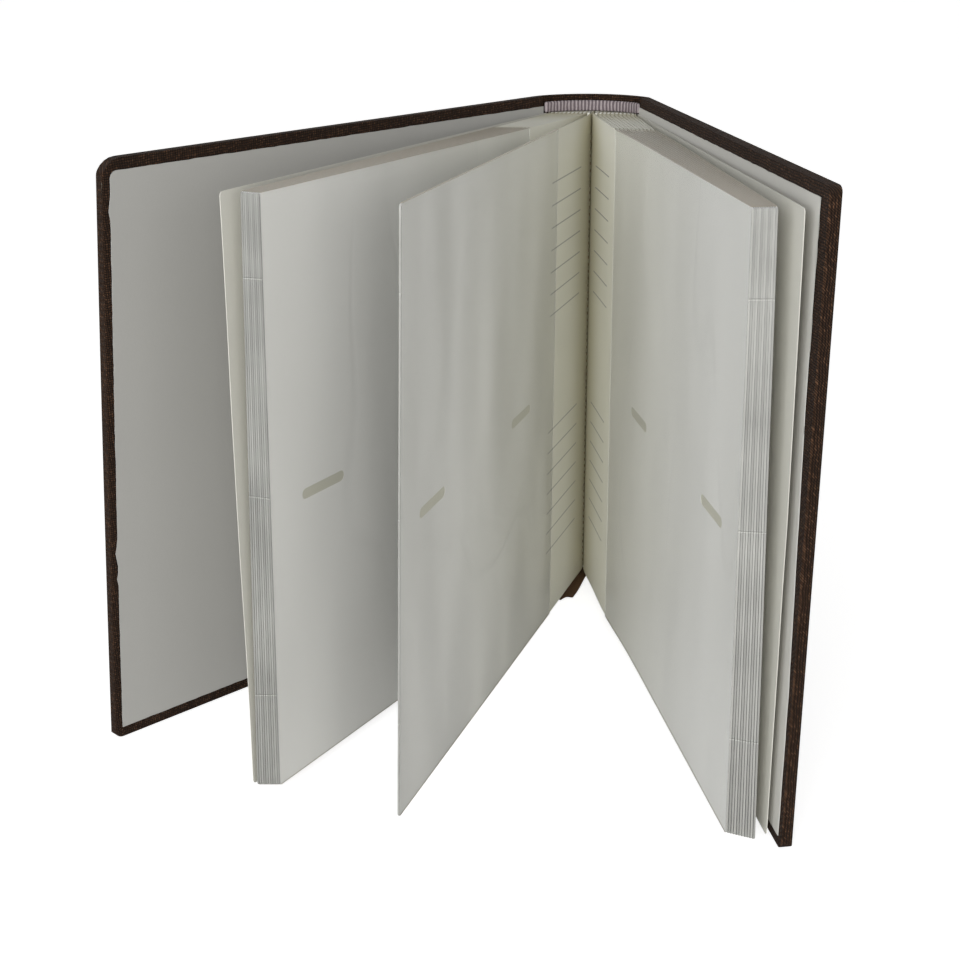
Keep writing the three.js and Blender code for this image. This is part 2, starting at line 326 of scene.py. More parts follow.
def addStage():
    clearSelection()
    bpy.ops.mesh.primitive_plane_add(size=light["floorSize"], location=(0, 0, light["floorHeight"]))
    floor = bpy.context.object
    floor.name = "floor"
    settle(floor)
    material, tree, shader = freshMaterial("paleFloor")
    shader.inputs["Base Color"].default_value = (*light["floorColour"], 1)
    shader.inputs["Roughness"].default_value = 0.9
    shader.inputs["Specular IOR Level"].default_value = 0.1
    path = addNode(tree, "ShaderNodeLightPath")
    shader.inputs["Emission Color"].default_value = (1, 1, 1, 1)
    glow = sums(tree, "MULTIPLY", path.outputs["Is Camera Ray"], light["floorGlow"])
    tree.links.new(glow, shader.inputs["Emission Strength"])
    floor.data.materials.append(material)

    world = bpy.data.worlds.new("studio")
    bpy.context.scene.world = world
    world.use_nodes = True
    tree = world.node_tree
    background = tree.nodes["Background"]
    path = addNode(tree, "ShaderNodeLightPath")
    seen = sums(tree, "MAXIMUM", path.outputs["Is Camera Ray"], path.outputs["Is Glossy Ray"])
    seen = sums(tree, "MAXIMUM", seen, path.outputs["Is Transmission Ray"])
    strength = addNode(tree, "ShaderNodeMapRange")
    tree.links.new(seen, strength.inputs["Value"])
    strength.inputs["To Min"].default_value = light["sky"]
    strength.inputs["To Max"].default_value = 1.0
    tree.links.new(strength.outputs[0], background.inputs["Strength"])
    background.inputs["Color"].default_value = (1, 1, 1, 1)

    for number, (place, aim, size, watts, colour) in enumerate(light["lamps"]):
        data = bpy.data.lights.new("lamp%d" % number, "AREA")
        data.size = size
        data.energy = watts
        data.color = colour
        lamp = bpy.data.objects.new("lamp%d" % number, data)
        bpy.context.scene.collection.objects.link(lamp)
        lamp.location = place
        lamp.rotation_euler = (Vector(aim) - Vector(place)).to_track_quat("-Z", "Y").to_euler()


addCamera()
addStage()
scene = bpy.context.scene
scene.view_settings.view_transform = "Standard"
print("camera, floor and light")


# Woven book cloth, as a group: thread height, and a shade with painted light on the thread tops and painted
# shade in the hollows, a tone for each thread and bright flecks on the tops

yarn = {
    "wobbleScale": 160, "wobble": 0.0009,
    "round": 0.6,                            # below 1 the threads are fuller
    "dip": 0.35,                             # how far a thread sinks where it passes under
    "raised": 2.8, "raisedShare": 0.50,      # only the tops of the threads are lit
    "fleck": 3.5, "threadShare": 0.05,
}


def makeWeave():
    group, into, out = makeGroup("bookWeave", [
        ("Vector", "NodeSocketVector", None), ("Thread", "NodeSocketFloat", 0.0008),
        ("Flecks", "NodeSocketFloat", 0.5)],
        [("Height", "NodeSocketFloat"), ("Shade", "NodeSocketFloat")])
    wobble = grain(group, into.outputs["Vector"], yarn["wobbleScale"], 1)
    shift = addNode(group, "ShaderNodeVectorMath", operation="SCALE")
    centred = addNode(group, "ShaderNodeVectorMath", operation="SUBTRACT")
    centred.inputs[1].default_value = (0.5, 0.5, 0.5)
    group.links.new(wobble["Color"], centred.inputs[0])
    group.links.new(centred.outputs[0], shift.inputs[0])
    shift.inputs["Scale"].default_value = yarn["wobble"]
    moved = addNode(group, "ShaderNodeVectorMath", operation="ADD")
    group.links.new(into.outputs["Vector"], moved.inputs[0])
    group.links.new(shift.outputs[0], moved.inputs[1])
    x, y, z = splitAxes(group, moved.outputs[0])
    along = sums(group, "DIVIDE", sums(group, "ADD", y, x), into.outputs["Thread"])
    upward = sums(group, "DIVIDE", sums(group, "ADD", z, x), into.outputs["Thread"])
    cellA, cellB = sums(group, "FLOOR", along), sums(group, "FLOOR", upward)

    def ridge(value):
        centre = fromMiddle(group, sums(group, "FRACT", value))
        height = sums(group, "SUBTRACT", 1.0, sums(group, "MULTIPLY", centre, 2.0))
        return sums(group, "POWER", height, yarn["round"])

    def sunk(upper, lower):
        depth = sums(group, "MULTIPLY_ADD", lower, yarn["dip"], 1 - yarn["dip"])
        return sums(group, "MULTIPLY", upper, depth)

    ridgeA, ridgeB = ridge(along), ridge(upward)
    check = sums(group, "PINGPONG", sums(group, "ADD", cellA, cellB), 1.0)
    over = addNode(group, "ShaderNodeMix", data_type="FLOAT")
    group.links.new(check, over.inputs["Factor"])
    group.links.new(sunk(ridgeA, ridgeB), over.inputs["A"])
    group.links.new(sunk(ridgeB, ridgeA), over.inputs["B"])
    group.links.new(over.outputs[0], out.inputs["Height"])
    cell = addNode(group, "ShaderNodeCombineXYZ")
    group.links.new(cellA, cell.inputs[0])
    group.links.new(cellB, cell.inputs[1])
    spot = addNode(group, "ShaderNodeTexWhiteNoise", noise_dimensions="2D")
    group.links.new(cell.outputs[0], spot.inputs["Vector"])
    yarnA = addNode(group, "ShaderNodeTexWhiteNoise", noise_dimensions="1D")
    group.links.new(cellA, yarnA.inputs["W"])
    yarnB = addNode(group, "ShaderNodeTexWhiteNoise", noise_dimensions="1D")
    group.links.new(sums(group, "ADD", cellB, 37.0), yarnB.inputs["W"])
    thread = addNode(group, "ShaderNodeMix", data_type="FLOAT")
    group.links.new(check, thread.inputs["Factor"])
    group.links.new(yarnA.outputs["Value"], thread.inputs["A"])
    group.links.new(yarnB.outputs["Value"], thread.inputs["B"])
    bright = sums(group, "POWER", spot.outputs["Value"], yarn["fleck"])
    flecks = sums(group, "MULTIPLY", bright, into.outputs["Flecks"])
    # Painted light: only the raised thread tops are lit, and the hollows between them are painted in shade
    raised = sums(group, "POWER", over.outputs[0], yarn["raised"])
    ofThread = sums(group, "MULTIPLY", thread.outputs[0], yarn["threadShare"])
    shade = sums(group, "MULTIPLY_ADD", raised, yarn["raisedShare"], ofThread)
    group.links.new(sums(group, "ADD", shade, sums(group, "MULTIPLY", flecks, raised)), out.inputs["Shade"])
    return group


weave = makeWeave()
cloth = {
    "thread": 0.00092, "flecks": 1.05, "curve": 0.031,    # the curve is the radius of the spine's outside
    "deep": (0.0040, 0.0020, 0.0012), "lit": (0.124, 0.064, 0.035),
    "bump": 0.0004, "dustScale": 55, "dust": (0.7, 0.65),
    "roughness": 0.92, "specular": 0.12, "sheen": 0.02, "sheenRoughness": 0.5,
}


# The weave runs with a cover turned by some degrees, or round the spine where turn is None
def clothMaterial(name, turn):
    material, tree, shader = freshMaterial(name)
    place = addNode(tree, "ShaderNodeTexCoord")
    if turn is None:
        x, y, z = splitAxes(tree, place.outputs["Object"])
        angle = sums(tree, "ARCTAN2", x, sums(tree, "SUBTRACT", y, spine["centreY"] * mm))
        mapping = addNode(tree, "ShaderNodeCombineXYZ")
        tree.links.new(sums(tree, "MULTIPLY", angle, cloth["curve"]), mapping.inputs[1])
        tree.links.new(z, mapping.inputs[2])
    else:
        mapping = addNode(tree, "ShaderNodeMapping")
        mapping.inputs["Rotation"].default_value = (0, 0, math.radians(turn))
        tree.links.new(place.outputs["Object"], mapping.inputs["Vector"])
    fabric = placeGroup(tree, weave, Vector=mapping.outputs[0], Thread=cloth["thread"], Flecks=cloth["flecks"])
    dust = grain(tree, place.outputs["Object"], cloth["dustScale"], 5)["Fac"]
    shade = sums(tree, "MULTIPLY", fabric.outputs["Shade"], sums(tree, "MULTIPLY_ADD", dust, *cloth["dust"]))
    colour = blendColour(tree, shade, cloth["deep"], cloth["lit"])
    tree.links.new(colour, shader.inputs["Base Color"])
    shader.inputs["Roughness"].default_value = cloth["roughness"]
    shader.inputs["Specular IOR Level"].default_value = cloth["specular"]
    shader.inputs["Sheen Weight"].default_value = cloth["sheen"]
    shader.inputs["Sheen Roughness"].default_value = cloth["sheenRoughness"]
    tree.links.new(bumpFrom(tree, fabric.outputs["Height"], 1.0, cloth["bump"]), shader.inputs["Normal"])
    return material


# Paper: soft mottling and fibres, as a group

fibres = {"broad": 14, "fine": 900, "fineShare": 0.25, "strength": 0.25, "bump": 0.00012}


def makePaperFibre():
    group, into, out = makeGroup("paperFibre", [
        ("Vector", "NodeSocketVector", None), ("Mottle", "NodeSocketFloat", 0.06)],
        [("Tone", "NodeSocketFloat"), ("Height", "NodeSocketFloat")])
    broad = grain(group, into.outputs["Vector"], fibres["broad"], 3)["Fac"]
    fine = grain(group, into.outputs["Vector"], fibres["fine"], 3)["Fac"]
    most = sums(group, "MULTIPLY", broad, 1 - fibres["fineShare"])
    both = sums(group, "MULTIPLY_ADD", fine, fibres["fineShare"], most)
    tone = sums(group, "MULTIPLY_ADD", sums(group, "SUBTRACT", both, 0.5), into.outputs["Mottle"], 1.0)
    group.links.new(tone, out.inputs["Tone"])
    group.links.new(fine, out.inputs["Height"])
    return group


paperFibre = makePaperFibre()


def paperMaterial(name, colour, mottle=0.10, roughness=0.82):
    material, tree, shader = freshMaterial(name)
    place = addNode(tree, "ShaderNodeTexCoord")
    fibre = placeGroup(tree, paperFibre, Vector=place.outputs["Object"], Mottle=mottle)
    tree.links.new(scaledColour(tree, colour, fibre.outputs["Tone"]), shader.inputs["Base Color"])
    shader.inputs["Roughness"].default_value = roughness
    shader.inputs["Specular IOR Level"].default_value = 0.3
    rough = bumpFrom(tree, fibre.outputs["Height"], fibres["strength"], fibres["bump"])
    tree.links.new(rough, shader.inputs["Normal"])
    return material


# Leaves

leaf = {
    "count": 22, "turning": 11, "pitch": 1.75, "width": 226.0,
    "low": 3.0, "high": 218.0, "card": 0.3, "corner": 1.2,
    "sag": 1.1, "sagPlace": 48, "sagWidth": 26, "ripple": 0.09,
    "grid": (68, 18), "filmGrid": (56, 40),
    "guard": 0.80, "outerGuard": 0.4, "guardGap": 0.12, "guardEnd": 46,
    "heel": 0.5, "heelLength": 9,               # the guard is thicker still at the very fold
    "meet": 0.70, "meetStart": 11, "meetLength": 13,    # the two leaves at the open fold lean together
    "squaring": {-1: (0.20, 0.58), 1: (0.0, 0.50)},    # each further leaf stays back by this at tail and head
    "squareStart": 130, "squareLength": 90,
    "rootY": -15.65, "seat": 0.15,
    "bend": 12.0, "bendSteps": 24,              # the bend reaches this far to each side of the hinge row
    "slotStarts": (83.5, 183.5), "slotLength": 24.5, "slotHeight": 4.0, "slotMiddle": 110.5,
    "leftPage": 21.5, "turningAngle": 9.4, "rightPage": 18.1, "foreEdgePitch": 0.9,
    "memoBlocks": ((34.7, 9.35), (142.2, 9.2)), "memoLine": 0.28,    # lowest line and pitch of each block
    "memoLines": 7,
    "longLines": (12, 57), "shortLines": (9, 39),
    "colour": (0.82, 0.81, 0.72),
    # The fold tone is painted shade: the olive darkening of the gutter
    "lineTone": (0.33, 0.33, 0.31), "foldShadeTone": (0.60, 0.57, 0.42),
}
spine = {"centreY": -30.55, "inside": 28.35}   # the round wall that the leaves are fixed to
film = {
    "inner": 50.0, "gap": 0.04, "wall": 0.08, "weld": 0.14,
    "fannedRoom": 0.90, "flexLoss": 0.20, "shutLoss": 1.10,    # these limit the thickness of the seams
    # The crease tone is painted shade along the film's crease lines
    "tone": (0.85, 0.845, 0.76), "outerTone": (0.855, 0.855, 0.825), "creaseShadeTone": (0.55, 0.55, 0.52),
    # Seam tones: three for the right leaves, then three darker ones for the left, where the darkening is
    # painted shade
    "seamTone": (0.53, 0.53, 0.50), "seamTonesAndShade": (0.63, 0.46, 0.55, 0.51, 0.37, 0.44),
    "headTone": (0.43, 0.375, 0.28), "weldTone": (0.60, 0.59, 0.49),
    "seamWidth": 0.5, "hemWidth": 3.4, "kinks": 2.86, "kinkStart": 0.008,
    "ripples": (2.6, 0.8, 1.0), "rippleScale": 1.7, "foldScale": 1.5, "creaseShare": 0.022,
    "pageBump": 0.0024, "turnedBump": 0.0065, "slant": 0.12, "turnedSlant": 0.62, "turnedPaintedShade": 0.90,
    "veil": 0.8, "creaseShadeShare": 0.10, "clearTone": (0.9, 0.9, 0.92),
    "clear": 0.03, "seamAlpha": 0.9, "hemAlpha": 0.85, "roughness": 0.35,
}


# Side, angle in degrees, and place in its half
def leafRest(number):
    if number == leaf["turning"]:
        return -1, leaf["turningAngle"], 0
    side = -1 if number < leaf["turning"] else 1
    page = leaf["leftPage"] if side < 0 else leaf["rightPage"]
    order = abs(number - leaf["turning"]) - 1
    gain = leaf["pitch"] * math.cos(math.radians(page)) - leaf["foreEdgePitch"]
    return side, page - order * math.degrees(math.asin(gain / leaf["width"])), order


# Degrees by which the leaf's head and tail ends stand away from its hinge angle, and what each
# further leaf adds to them
flex = {
    "turning": (0.77, 0.0, 0.0), -1: (0.74, 0.05, 0.05), 1: (0.43, 0.05, 0.025),
}


def leafFlex(number):
    side, _, order = leafRest(number)
    start, head, tail = flex["turning" if number == leaf["turning"] else side]
    return -start - head * order, start - tail * order


def rootX(number):
    return (number - (leaf["count"] + 1) / 2) * leaf["pitch"]


def spineInside(x):
    return spine["centreY"] + math.sqrt(spine["inside"] ** 2 - x * x)


# The flat sheet leaves the spine square, bends over, and goes on straight at its own angle.
# The cards are thicker beside the fold, where a guard is pasted to their outer side.
def bendLeaf(piece, number, guard=False):
    side, angle, order = leafRest(number)
    headFlex, tailFlex = leafFlex(number)
    reach = leaf["bend"]
    start = leaf["rootY"] - spineInside(rootX(number)) + leaf["seat"]
    sag = leaf["sag"] if side > 0 else 0.0
    for vertex in piece.data.vertices:
        s, t, z = vertex.co.x / mm, -vertex.co.y / mm, vertex.co.z / mm
        if s < reach:
            s = reach - (reach - s) * (reach - start) / (2 * reach)
        share = (z - leaf["low"]) / (leaf["high"] - leaf["low"])
        if number != leaf["turning"]:
            tail, head = leaf["squaring"][side]
            s -= order * (tail + (head - tail) * share) * rise(s, leaf["squareStart"], leaf["squareLength"])
        full = side * math.radians(angle + tailFlex + (headFlex - tailFlex) * share)
        heading = Vector((math.sin(full), -math.cos(full)))
        if s >= reach:
            place, turn = heading * s, full
        else:
            place = heading * reach
            here = reach
            count = max(1, int(math.ceil((reach - s) / (2 * reach) * leaf["bendSteps"])))
            step = (reach - s) / count
            for _ in range(count):
                turn = full * softly(rise(here - step / 2, -reach, 2 * reach))
                place = place - Vector((math.sin(turn), -math.cos(turn))) * step
                here -= step
            turn = full * softly(rise(s, -reach, 2 * reach))
        if t * side > 0.1 and guard:
            narrowing = (leaf["pitch"] - leaf["foreEdgePitch"]) * max(0, s) / leaf["width"]
            room = min(leaf["pitch"] - narrowing - leaf["card"] - leaf["guardGap"],
                       leaf["guard"] + leaf["heel"] * max(0, 1 - s / leaf["heelLength"]))
            if number in (1, leaf["count"]):
                room = min(room, leaf["outerGuard"])
            t += side * room * rise(-s, -leaf["guardEnd"], 1.5) * rise(s, -5, 5)
        seed = (number < leaf["turning"]) * 3.7 + 0.04 * number
        wave = leaf["ripple"] * noise.noise(Vector((s * 0.004, z * 0.018, seed))) * rise(s, 0, 120)
        wave -= side * sag * math.exp(-((s - leaf["sagPlace"]) / leaf["sagWidth"]) ** 2)
        if number in (leaf["turning"], leaf["turning"] + 1):
            wave -= side * leaf["meet"] * rise(-s, -leaf["meetStart"], leaf["meetLength"]) ** 2
        across = Vector((math.cos(turn), math.sin(turn)))
        spot = place + across * (t + wave)
        vertex.co = ((rootX(number) + spot.x) * mm, (leaf["rootY"] + spot.y) * mm, z * mm)


# One rounded bar for each slot of the card
def slotCutter():
    radius = leaf["slotHeight"] / 2
    clearSelection()
    cutters = []
    for start in leaf["slotStarts"]:
        bpy.ops.mesh.primitive_circle_add(
            vertices=26, radius=radius * mm, fill_type="NGON",
            location=((start + radius) * mm, 2 * mm, leaf["slotMiddle"] * mm), rotation=(math.pi / 2, 0, 0))
        cutter = bpy.context.object
        settle(cutter)
        pickVertices(cutter, lambda co: co.x > (start + radius) * mm)
        bpy.ops.transform.translate(value=((leaf["slotLength"] - 2 * radius) * mm, 0, 0))
        bpy.ops.mesh.select_all(action="SELECT")
        bpy.ops.mesh.extrude_region_move(TRANSFORM_OT_translate={"value": (0, -4 * mm, 0)})
        bpy.ops.mesh.select_all(action="SELECT")
        bpy.ops.mesh.normals_make_consistent(inside=False)
        bpy.ops.object.mode_set(mode="OBJECT")
        cutters.append(cutter)
    return joinParts(cutters)


def leafCardTemplate():
    card = flatSheet("cardTemplate", -leaf["bend"], leaf["width"], leaf["low"], leaf["high"],
                     *leaf["grid"], leaf["corner"])
    modify(card, "SOLIDIFY", thickness=leaf["card"] * mm, offset=0)
    cutter = slotCutter()
    modify(card, "BOOLEAN", operation="DIFFERENCE", solver="EXACT", object=cutter)
    bpy.data.objects.remove(cutter)
    mapFlat(card, leaf["width"], leaf["low"], leaf["high"])
    return card


# A flat bag, open toward the fold; its three closed edges are thicker than the film
def filmTemplate():
    outer = leaf["card"] / 2 + film["gap"] + film["wall"]
    past = film["gap"] + film["wall"]
    bag = flatSheet("filmTemplate", film["inner"], leaf["width"] + past, leaf["low"] - past,
                    leaf["high"] + past, *leaf["filmGrid"], leaf["corner"] + past)
    modify(bag, "SOLIDIFY", thickness=2 * outer * mm, offset=0)
    pickFaces(bag, lambda face: face.calc_center_median().x < (film["inner"] + 0.01) * mm)
    bpy.ops.mesh.delete(type="FACE")
    bpy.ops.object.mode_set(mode="OBJECT")
    modify(bag, "SOLIDIFY", thickness=film["wall"] * mm, offset=-1)
    closed = leaf["width"] - 0.5
    for vertex in bag.data.vertices:
        s, z = vertex.co.x / mm, vertex.co.z / mm
        if s > closed or z > leaf["high"] - 0.5 or z < leaf["low"] + 0.5:
            share = s / leaf["width"]
            room = min(film["fannedRoom"] - film["flexLoss"] * share,
                       leaf["pitch"] - film["shutLoss"] * share)
            vertex.co.y *= max(1.0, room / 2 / outer)
    return bag


# The two walls of a pocket are welded together through the card's slots
def weldTemplate():
    plates = slotCutter()
    plates.name = "weldTemplate"
    for vertex in plates.data.vertices:
        vertex.co.y = math.copysign(film["weld"] / 2, vertex.co.y) * mm
    return plates


# Two blocks of seven ruled lines beside the fold, from the sheet's own map
def makeMemoLines():
    group, into, out = makeGroup("memoLines", [
        ("Vector", "NodeSocketVector", None), ("Start", "NodeSocketFloat", 12.0),
        ("End", "NodeSocketFloat", 40.0)],
        [("Mask", "NodeSocketFloat"), ("Across", "NodeSocketFloat")])
    u, v, _ = splitAxes(group, into.outputs["Vector"])
    across = sums(group, "MULTIPLY", u, leaf["width"])
    upward = sums(group, "MULTIPLY_ADD", v, leaf["high"] - leaf["low"], leaf["low"])
    blocks = []
    last = leaf["memoLines"] - 1
    for first, pitch in leaf["memoBlocks"]:
        steps = sums(group, "DIVIDE", sums(group, "SUBTRACT", upward, first), pitch)
        off = fromMiddle(group, sums(group, "FRACT", sums(group, "ADD", steps, 0.5)))
        stroke = sums(group, "LESS_THAN", sums(group, "MULTIPLY", off, pitch), leaf["memoLine"])
        blocks.append(sums(group, "MULTIPLY", stroke, between(group, steps, -0.5, last + 0.5, 0.01)))
    lines = sums(group, "MAXIMUM", blocks[0], blocks[1])
    width = between(group, across, into.outputs["Start"], into.outputs["End"], 0.3)
    group.links.new(sums(group, "MULTIPLY", lines, width), out.inputs["Mask"])
    group.links.new(across, out.inputs["Across"])
    return group


memoLines = makeMemoLines()


# Broad soft ripples and a few thin creases in clear film
def makeCreases():
    group, into, out = makeGroup("filmCreases", [
        ("Vector", "NodeSocketVector", None), ("Seed", "NodeSocketFloat", 0.0),
        ("Slant", "NodeSocketFloat", 0.12)],
        [("Height", "NodeSocketFloat"), ("Line", "NodeSocketFloat")])
    mapping = addNode(group, "ShaderNodeMapping")
    mapping.inputs["Scale"].default_value = film["ripples"]
    tilt = addNode(group, "ShaderNodeCombineXYZ")
    group.links.new(into.outputs["Slant"], tilt.inputs[2])
    group.links.new(tilt.outputs[0], mapping.inputs["Rotation"])
    group.links.new(into.outputs["Vector"], mapping.inputs["Vector"])
    seed = into.outputs["Seed"]
    ripple = grain(group, mapping.outputs[0], film["rippleScale"], 1.2, seed)["Fac"]
    fold = grain(group, mapping.outputs[0], film["foldScale"], 0.6, sums(group, "ADD", seed, 5.0))["Fac"]
    line = between(group, fromMiddle(group, fold), -1.0, 0.008, 0.006)
    fade = grain(group, into.outputs["Vector"], 3.0, 2.0, seed)["Fac"]
    seen = sums(group, "MULTIPLY", line, between(group, fade, 0.5, 2.0, 0.12))
    group.links.new(sums(group, "MULTIPLY_ADD", seen, film["creaseShare"], ripple), out.inputs["Height"])
    group.links.new(seen, out.inputs["Line"])
    return group


creases = makeCreases()


# shade scales every tone of the card; the turning leaf's copy uses it for painted shade, darker all over
def cardMaterial(name, lineEnds, seed, slant, depth, shade=1.0):
    plainTone, foldShadeTone, innerTone, outerTone = [
        Vector(tone) * shade for tone in (leaf["colour"], leaf["foldShadeTone"], film["tone"], film["outerTone"])]
    material = paperMaterial(name, plainTone, 0.08, 0.8)
    tree = material.node_tree
    shader = tree.nodes["Principled BSDF"]
    place = [n for n in tree.nodes if n.type == "TEX_COORD"][0].outputs["UV"]
    plain = shader.inputs["Base Color"].links[0].from_socket
    paper = shader.inputs["Normal"].links[0].from_socket
    lines = placeGroup(tree, memoLines, Vector=place, Start=lineEnds[0], End=lineEnds[1])
    crease = placeGroup(tree, creases, Vector=place, Seed=seed, Slant=slant)
    across = lines.outputs["Across"]

    # Painted shade: the card darkens to an olive brown toward the fold, where the gutter lies in shade
    foldShaded = blendColour(tree, ramp(tree, across, -9, 30), foldShadeTone, plain)
    covered = ramp(tree, across, film["inner"] - 0.6, film["inner"] + 0.6)
    hem = between(tree, across, film["inner"], film["inner"] + film["hemWidth"], 0.5)
    tone = blendColour(tree, ramp(tree, across, film["inner"], leaf["width"] - 30), innerTone, outerTone)
    shown = sums(tree, "MULTIPLY_ADD", hem, 1 - film["veil"], sums(tree, "MULTIPLY", covered, film["veil"]))
    colour = blendColour(tree, shown, foldShaded, tone)
    # Painted shade: the film's thin crease lines darken the colour a little
    line = sums(tree, "MULTIPLY", crease.outputs["Line"], sums(tree, "MULTIPLY", covered, film["creaseShadeShare"]))
    colour = blendColour(tree, line, colour, film["creaseShadeTone"])
    printed = sums(tree, "MULTIPLY", lines.outputs["Mask"], 0.8)
    tree.links.new(blendColour(tree, printed, colour, leaf["lineTone"]), shader.inputs["Base Color"])
    tree.links.new(sums(tree, "MULTIPLY_ADD", covered, -0.50, 0.80), shader.inputs["Roughness"])
    tree.links.new(sums(tree, "MULTIPLY_ADD", covered, 0.25, 0.3), shader.inputs["Specular IOR Level"])
    ripple = sums(tree, "MULTIPLY", crease.outputs["Height"], covered)
    tree.links.new(bumpFrom(tree, ripple, 1.0, depth, paper), shader.inputs["Normal"])
    return material


# Nearly clear on the page, grey along the welded seams, with three kinks across the fore-edge
def filmMaterial(name, seamToneAndShade):
    material, tree, shader = freshMaterial(name)
    place = addNode(tree, "ShaderNodeTexCoord")
    u, v, _ = splitAxes(tree, place.outputs["UV"])
    across = sums(tree, "MULTIPLY", u, leaf["width"])
    edge = ramp(tree, across, leaf["width"] - film["seamWidth"], leaf["width"] - 0.1)
    streak = grain(tree, place.outputs["Object"], 40)["Fac"]
    tone = sums(tree, "MULTIPLY_ADD", streak, 0.5, seamToneAndShade)
    turns = sums(tree, "FRACT", sums(tree, "MULTIPLY_ADD", v, film["kinks"], film["kinkStart"]))
    bend = sums(tree, "MULTIPLY_ADD", streak, 0.02, -0.01)
    kink = between(tree, fromMiddle(tree, sums(tree, "ADD", turns, bend)), -1.0, 0.004, 0.003)
    seam = scaledColour(tree, film["seamTone"], sums(tree, "MULTIPLY_ADD", kink, 0.28, tone))
    hem = sums(tree, "GREATER_THAN", fromMiddle(tree, v), 0.5 + 0.00005)
    colour = blendColour(tree, edge, film["clearTone"], seam)
    tree.links.new(blendColour(tree, hem, colour, film["headTone"]), shader.inputs["Base Color"])
    shader.inputs["Roughness"].default_value = film["roughness"]
    solid = sums(tree, "MAXIMUM", sums(tree, "MULTIPLY", edge, film["seamAlpha"]),
                 sums(tree, "MULTIPLY", hem, film["hemAlpha"]))
    tree.links.new(sums(tree, "MAXIMUM", solid, film["clear"]), shader.inputs["Alpha"])
    tree.links.new(bumpFrom(tree, kink, 1.0, 0.0003), shader.inputs["Normal"])
    return material


def addLeaves():
    card, bag, plates = leafCardTemplate(), filmTemplate(), weldTemplate()
    faceLong = cardMaterial("cardWithLongLines", leaf["longLines"], 1.0, film["slant"], film["pageBump"])
    faceShort = cardMaterial("cardWithShortLines", leaf["shortLines"], 4.0, film["slant"], film["pageBump"])
    # The turning leaf's card is a darker copy of the others: painted shade
    turned = cardMaterial("cardTurning", leaf["longLines"], 2.6, film["turnedSlant"], film["turnedBump"],
                          film["turnedPaintedShade"])
    films = [filmMaterial("clearFilm%d" % k, shade) for k, shade in enumerate(film["seamTonesAndShade"])]
    card.data.materials.append(faceLong)
    card.data.materials.append(faceShort)
    bag.data.materials.append(films[0])
    plates.data.materials.append(films[0])
    plates.data.materials.append(paperMaterial("weldedFilm", film["weldTone"], 0.05, 0.4))
    for polygon in plates.data.polygons:
        polygon.material_index = 1
    joinParts([bag, plates])
    mapFlat(bag, leaf["width"], leaf["low"], leaf["high"])
    for polygon in card.data.polygons:
        polygon.material_index = 1 if polygon.normal.y > 0.5 else 0
    for number in range(1, leaf["count"] + 1):
        body = "leaf_%02d" % number
        page = twin(card, "leafCard%02d" % number)
        bendLeaf(page, number, number != leaf["turning"])
        smooth(page)
        if number == leaf["turning"]:
            page.data.materials[0] = turned
        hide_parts("leaf_%02d" % number)
        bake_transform(page)
        pocket = twin(bag, "filmPocket%02d" % number)
        bendLeaf(pocket, number)
        # Three seam tones a side; the left leaves get darker copies of them, painted shade
        pocket.data.materials[0] = films[number % 3 + (3 if number < leaf["turning"] else 0)]
        smooth(pocket)
        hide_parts("sleeve_%02d" % number)
        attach(pocket, body)
    bpy.data.objects.remove(card)
    bpy.data.objects.remove(bag)


addLeaves()
print("leaves and film pockets")


# Guards at the back of the leaves, between their roots

stub = {"thick": 1.15, "frontY": -10.1, "halfWidth": 19.1, "height": 215, "middle": 110.5, "least": 1.2}


def addStubs():
    parts = []
    for number in range(leaf["count"] + 1):
        if number == leaf["turning"]:
            continue
        middle = (number + 0.5 - (leaf["count"] + 1) / 2) * leaf["pitch"]
        low = max(-stub["halfWidth"], middle - stub["thick"] / 2)
        high = min(stub["halfWidth"], middle + stub["thick"] / 2)
        clearSelection()
        bpy.ops.mesh.primitive_cube_add(size=1, location=((low + high) / 2 * mm, 0, stub["middle"] * mm))
        part = bpy.context.object
        part.scale = ((high - low) * mm, 1 * mm, stub["height"] * mm)
        settle(part)
        for vertex in part.data.vertices:
            wall = spineInside(vertex.co.x / mm)
            if vertex.co.y > 0:
                vertex.co.y = (wall - 0.02) * mm
            else:
                vertex.co.y = min(stub["frontY"], wall - stub["least"]) * mm
        modify(part, "BEVEL", width=0.12 * mm, segments=2)
        parts.append(part)
    block = joinParts(parts)
    block.name = "guardStubs"
    block.data.materials.append(paperMaterial("guardPaper", (0.76, 0.745, 0.67)))
    smooth(block)
    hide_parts("guard_block")
    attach(block, "spine")


addStubs()

sewing = {
    "pitch": 3.2, "low": 8.0, "high": 214.0, "length": 1.7, "width": 0.55, "place": -13.6,
    "colour": (0.24, 0.21, 0.14),
}


# The sewing shows as a row of short dark stitches down the fold
def addSewing():
    clearSelection()
    bpy.ops.mesh.primitive_uv_sphere_add(segments=10, ring_count=6, radius=1, location=(0, 0, 0))
    stitch = bpy.context.object
    stitch.scale = (sewing["width"] / 2 * mm, sewing["width"] / 2 * mm, sewing["length"] / 2 * mm)
    settle(stitch)
    count = int((sewing["high"] - sewing["low"]) / sewing["pitch"])
    parts = [stitch] + [twin(stitch, "stitch%d" % number) for number in range(1, count)]
    for number, part in enumerate(parts):
        for vertex in part.data.vertices:
            vertex.co += Vector((0, sewing["place"] * mm, (sewing["low"] + number * sewing["pitch"]) * mm))
    stitch = joinParts(parts)
    stitch.name = "sewingStitches"
    stitch.data.materials.append(paperMaterial("sewingThread", sewing["colour"], 0.5))
    smooth(stitch, 60)
    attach(stitch, "spine")


addSewing()

ribbon = {
    "width": 8.5, "thick": 0.35, "length": 40, "colour": (0.085, 0.045, 0.022),
    "back": -5, "left": -0.6, "drift": 6.2,     # it starts inside the spine and drifts to the left
    "lift": 0.4, "arch": 1.1, "cup": 0.25,
}


